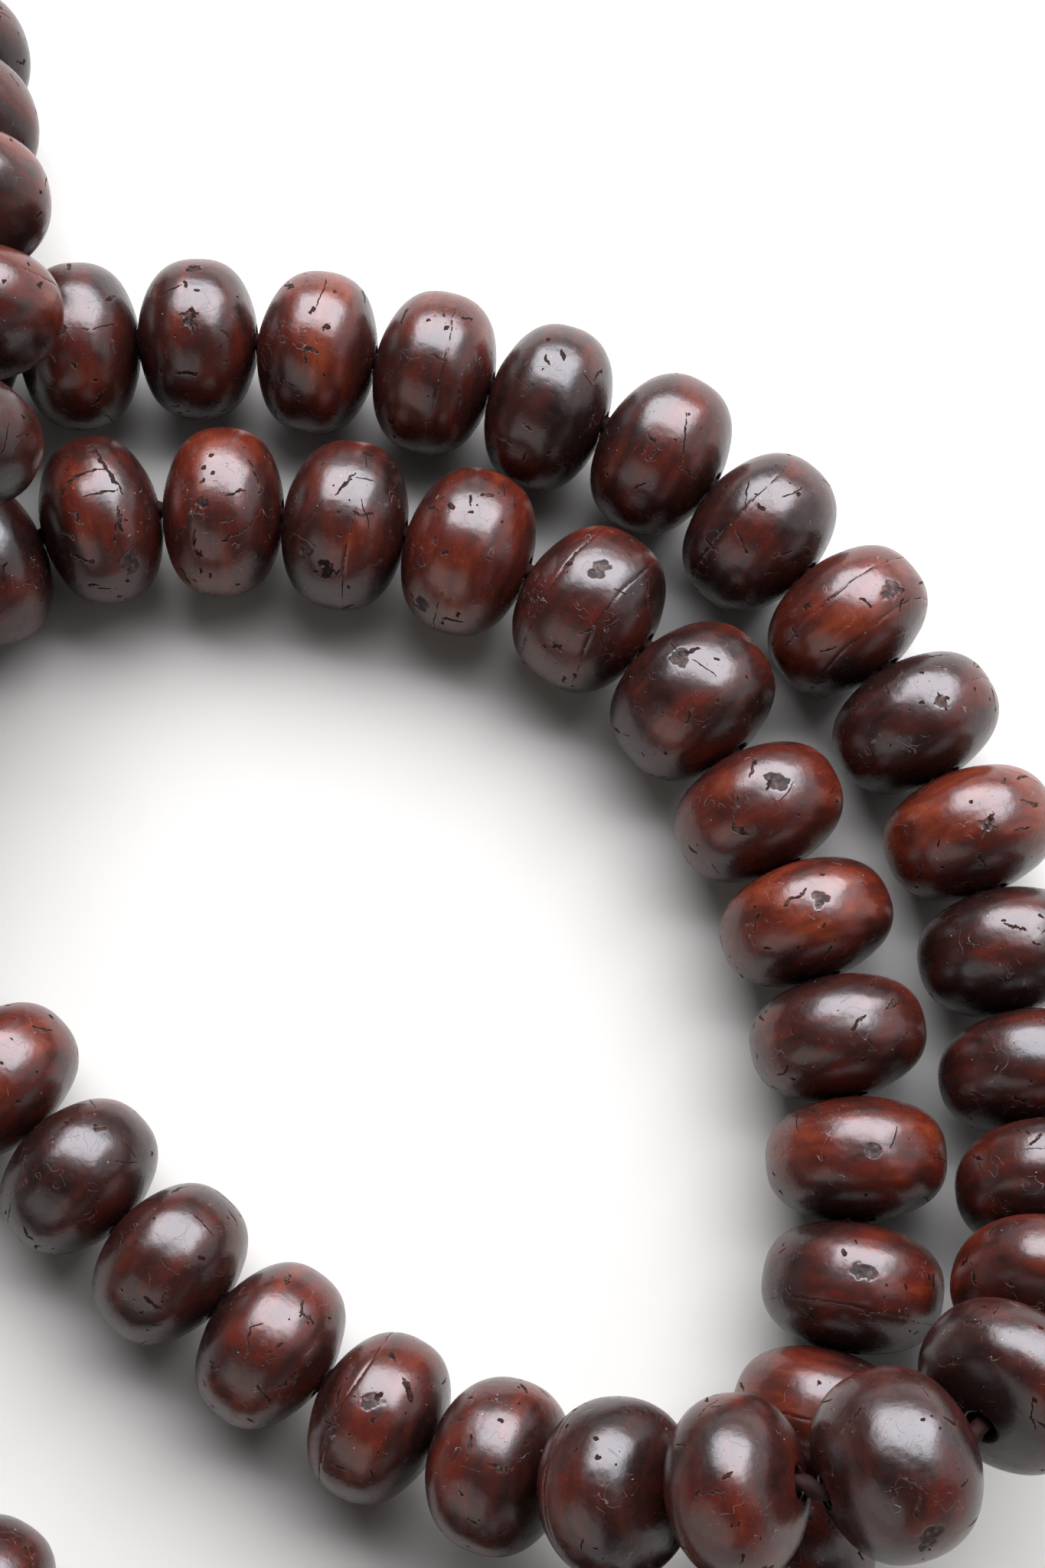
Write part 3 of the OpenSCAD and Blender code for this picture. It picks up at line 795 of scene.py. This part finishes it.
def add_laid_cord(name, path, material):
    """Three strands laid together along a path, with both ends melted to round tips."""
    ahead = np.gradient(path, axis=0)
    ahead /= np.linalg.norm(ahead, axis=1)[:, None]
    side = [np.cross(ahead[0], START_SIDE)]
    for way in ahead:
        turned = side[-1] - (side[-1] @ way) * way
        side.append(turned / np.linalg.norm(turned))
    side = np.array(side[1:])
    over = np.cross(ahead, side)
    along = np.concatenate([[0], np.cumsum(np.linalg.norm(np.diff(path, axis=0), axis=1))])
    theta = np.linspace(0, math.tau, CORD_SIDES, endpoint=False)[None, :]
    strand = theta - along[:, None] * math.tau / TWIST
    radius = CORD_R - LOBE * (1 - np.abs(np.cos(1.5 * strand)))
    to_end = np.minimum(along, along[-1] - along)
    radius *= np.sqrt(np.clip(1 - (1 - np.clip(to_end / TIP, 0, 1)) ** 2, 0.01, 1))[:, None]
    outward = np.cos(theta)[..., None] * side[:, None] + np.sin(theta)[..., None] * over[:, None]
    points = path[:, None] + radius[..., None] * outward
    fibre = np.stack([np.cos(strand), np.sin(strand), np.broadcast_to(along[:, None] / 2, strand.shape)], -1)
    quads = ring_quads(len(path), CORD_SIDES)
    made = make_mesh(name, points.reshape(-1, 3), quads, material, {"fibre": fibre.reshape(-1, 3)})
    closed = bmesh.new()
    closed.from_mesh(made.data)
    bmesh.ops.holes_fill(closed, edges=[e for e in closed.edges if e.is_boundary], sides=0)
    bmesh.ops.recalc_face_normals(closed, faces=closed.faces)
    closed.to_mesh(made.data)
    closed.free()
    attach(made, "string")
    return made


def add_string(beads, material):
    """The cord, from its one end through the guru bead, round the loop and back to its other end, and the knot."""
    guru, beside = GURU_MIDDLE, TAIL_BESIDE
    tail = np.array([-math.cos(TAIL_DROOP), 0, -math.sin(TAIL_DROOP)])
    out = beads[0]["middle"] - guru
    back = guru - beads[-1]["middle"]
    out, back = out / np.linalg.norm(out), back / np.linalg.norm(back)
    stations = [(guru + tail * TAIL_LENGTHS[0] + beside, -tail), (guru + tail * TURN_IN + beside, -tail),
                (guru + out * TURN_IN, out)]
    for bead in beads:
        for end in (-1, 1):
            stations.append((bead["middle"] + end * bead["half"] * bead["axis"], bead["axis"]))
    stations += [(guru - back * TURN_IN, back), (guru + tail * TURN_IN - beside, tail),
                 (guru + tail * TAIL_LENGTHS[1] - beside, tail)]
    cord = add_laid_cord("laid_cord", smooth_path(stations, RING_SPACING), material)
    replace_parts(cord, "cord")

    # The knot is the cord wound round its own two ends, with both ends of the winding tucked in.
    turns = np.linspace(0, KNOT_TURNS, KNOT_POINTS)
    tuck = smooth(turns, 0, KNOT_TUCK) * smooth(KNOT_TURNS - turns, 0, KNOT_TUCK)
    wide, high = (core + KNOT_SWELL * tuck for core in KNOT_CORE)
    lift = np.cross(tail, (0, 1, 0))
    around = turns[:, None] * math.tau
    path = (guru + tail * (KNOT_START + KNOT_PITCH * turns[:, None])
            + wide[:, None] * np.cos(around) * np.array([0, 1, 0]) + high[:, None] * np.sin(around) * lift)
    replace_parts(add_laid_cord("wound_knot", path, material), "closing_knot")


# --- Stage -----------------------------------------------------------------

FLOOR_REACH = 30.0
FLOOR_COLOUR = (0.37, 0.359, 0.33, 1)
GLOW_COLOUR, GLOW = (1, 0.99, 0.98, 1), 0.72
GLOW_START, GLOW_FULL = 0.3, 0.95
LIGHTS_AIM = Vector((0.03, 0, 0))

# Each light: name, azimuth and elevation in degrees, distance and size in metres, power in watts, colour.
# Azimuth 0 is behind the string, along +Y, and 90 is along +X.
LIGHTS = (
    ("window", 17, 50, 0.8, (1.12, 0.78), 33, (0.925, 0.93, 1.0)),
    ("curtain", 17, 50, 0.9, (2.1, 1.45), 4, (0.95, 0.96, 1.0)),
    ("side", 78, 32, 0.8, (0.9, 0.8), 2.2, (0.9, 0.93, 1.0)),
    ("wall", -150, 25, 1.2, (1.3, 0.8), 3.4, (1.0, 0.97, 0.95)),
)
# The room's colour by height: 0 at the horizon and 1 straight up.
ROOM = ((0.0, (0.7, 0.7, 0.7, 1)), (0.1, (0.38, 0.38, 0.385, 1)), (0.42, (0.04, 0.04, 0.042, 1)))


def add_floor():
    """A plain pale floor."""
    n = Nodes("pale_floor")
    n.shader.inputs["Base Color"].default_value = FLOOR_COLOUR
    n.shader.inputs["Roughness"].default_value = 0.55

    # Far from the lamps the floor glows a little, so that it stays pale out to the horizon.
    place = n.node("ShaderNodeTexCoord").outputs["Object"]
    far = n.node("ShaderNodeVectorMath", {0: place}, operation="LENGTH").outputs["Value"]
    n.put(n.shader.inputs["Emission Strength"], n.math("MULTIPLY", n.step(far, GLOW_START, GLOW_FULL), GLOW))
    n.shader.inputs["Emission Color"].default_value = GLOW_COLOUR
    reach = FLOOR_REACH
    mesh = bpy.data.meshes.new("floor")
    corners = [(-reach, -reach, 0), (reach, -reach, 0), (reach, reach, 0), (-reach, reach, 0)]
    mesh.from_pydata(corners, [], [(0, 1, 2, 3)])
    mesh.materials.append(n.material)
    floor = bpy.data.objects.new("floor", mesh)
    bpy.context.scene.collection.objects.link(floor)


def add_area_light(name, azimuth, elevation, distance, size, power, colour):
    """A rectangular soft light aimed at the string."""
    data = bpy.data.lights.new(name, "AREA")
    data.shape = "RECTANGLE"
    data.size, data.size_y = size
    data.energy = power
    data.color = colour
    lamp = bpy.data.objects.new(name, data)
    a, e = math.radians(azimuth), math.radians(elevation)
    way = Vector((math.sin(a) * math.cos(e), math.cos(a) * math.cos(e), math.sin(e)))
    lamp.location = LIGHTS_AIM + way * distance
    lamp.rotation_euler = way.to_track_quat("Z", "Y").to_euler()
    lamp.visible_camera = False
    bpy.context.scene.collection.objects.link(lamp)


def add_world():
    """Dim overhead and pale near the horizon, as in a room with light walls."""
    world = bpy.data.worlds.new("studio")
    world.use_nodes = True
    tree = world.node_tree
    direction = tree.nodes.new("ShaderNodeTexCoord")
    split = tree.nodes.new("ShaderNodeSeparateXYZ")
    ramp = tree.nodes.new("ShaderNodeValToRGB")
    ramp.color_ramp.elements.new(0.5)
    for element, (height, colour) in zip(ramp.color_ramp.elements, ROOM):
        element.position = height
        element.color = colour
    tree.links.new(direction.outputs["Generated"], split.inputs[0])
    tree.links.new(split.outputs["Z"], ramp.inputs[0])
    tree.links.new(ramp.outputs[0], tree.nodes["Background"].inputs["Color"])
    bpy.context.scene.world = world


# --- The scene -------------------------------------------------------------

add_camera()
add_world()
add_floor()
for light in LIGHTS:
    add_area_light(*light)
bpy.context.scene.view_settings.view_transform = "Standard"

beads = read_beads()
shape_beads(beads)
seed = seed_material()
for bead in beads:
    build_seed(bead, seed, *(FINE_GRID if bead["node"].startswith("bead_") else COARSE_GRID))

wood = wood_material()
for name in ("guru_bead", "tower_bead"):
    node = frame["nodes"][name]
    node.data.materials.clear()
    node.data.materials.append(wood)
add_string(beads, cord_material())
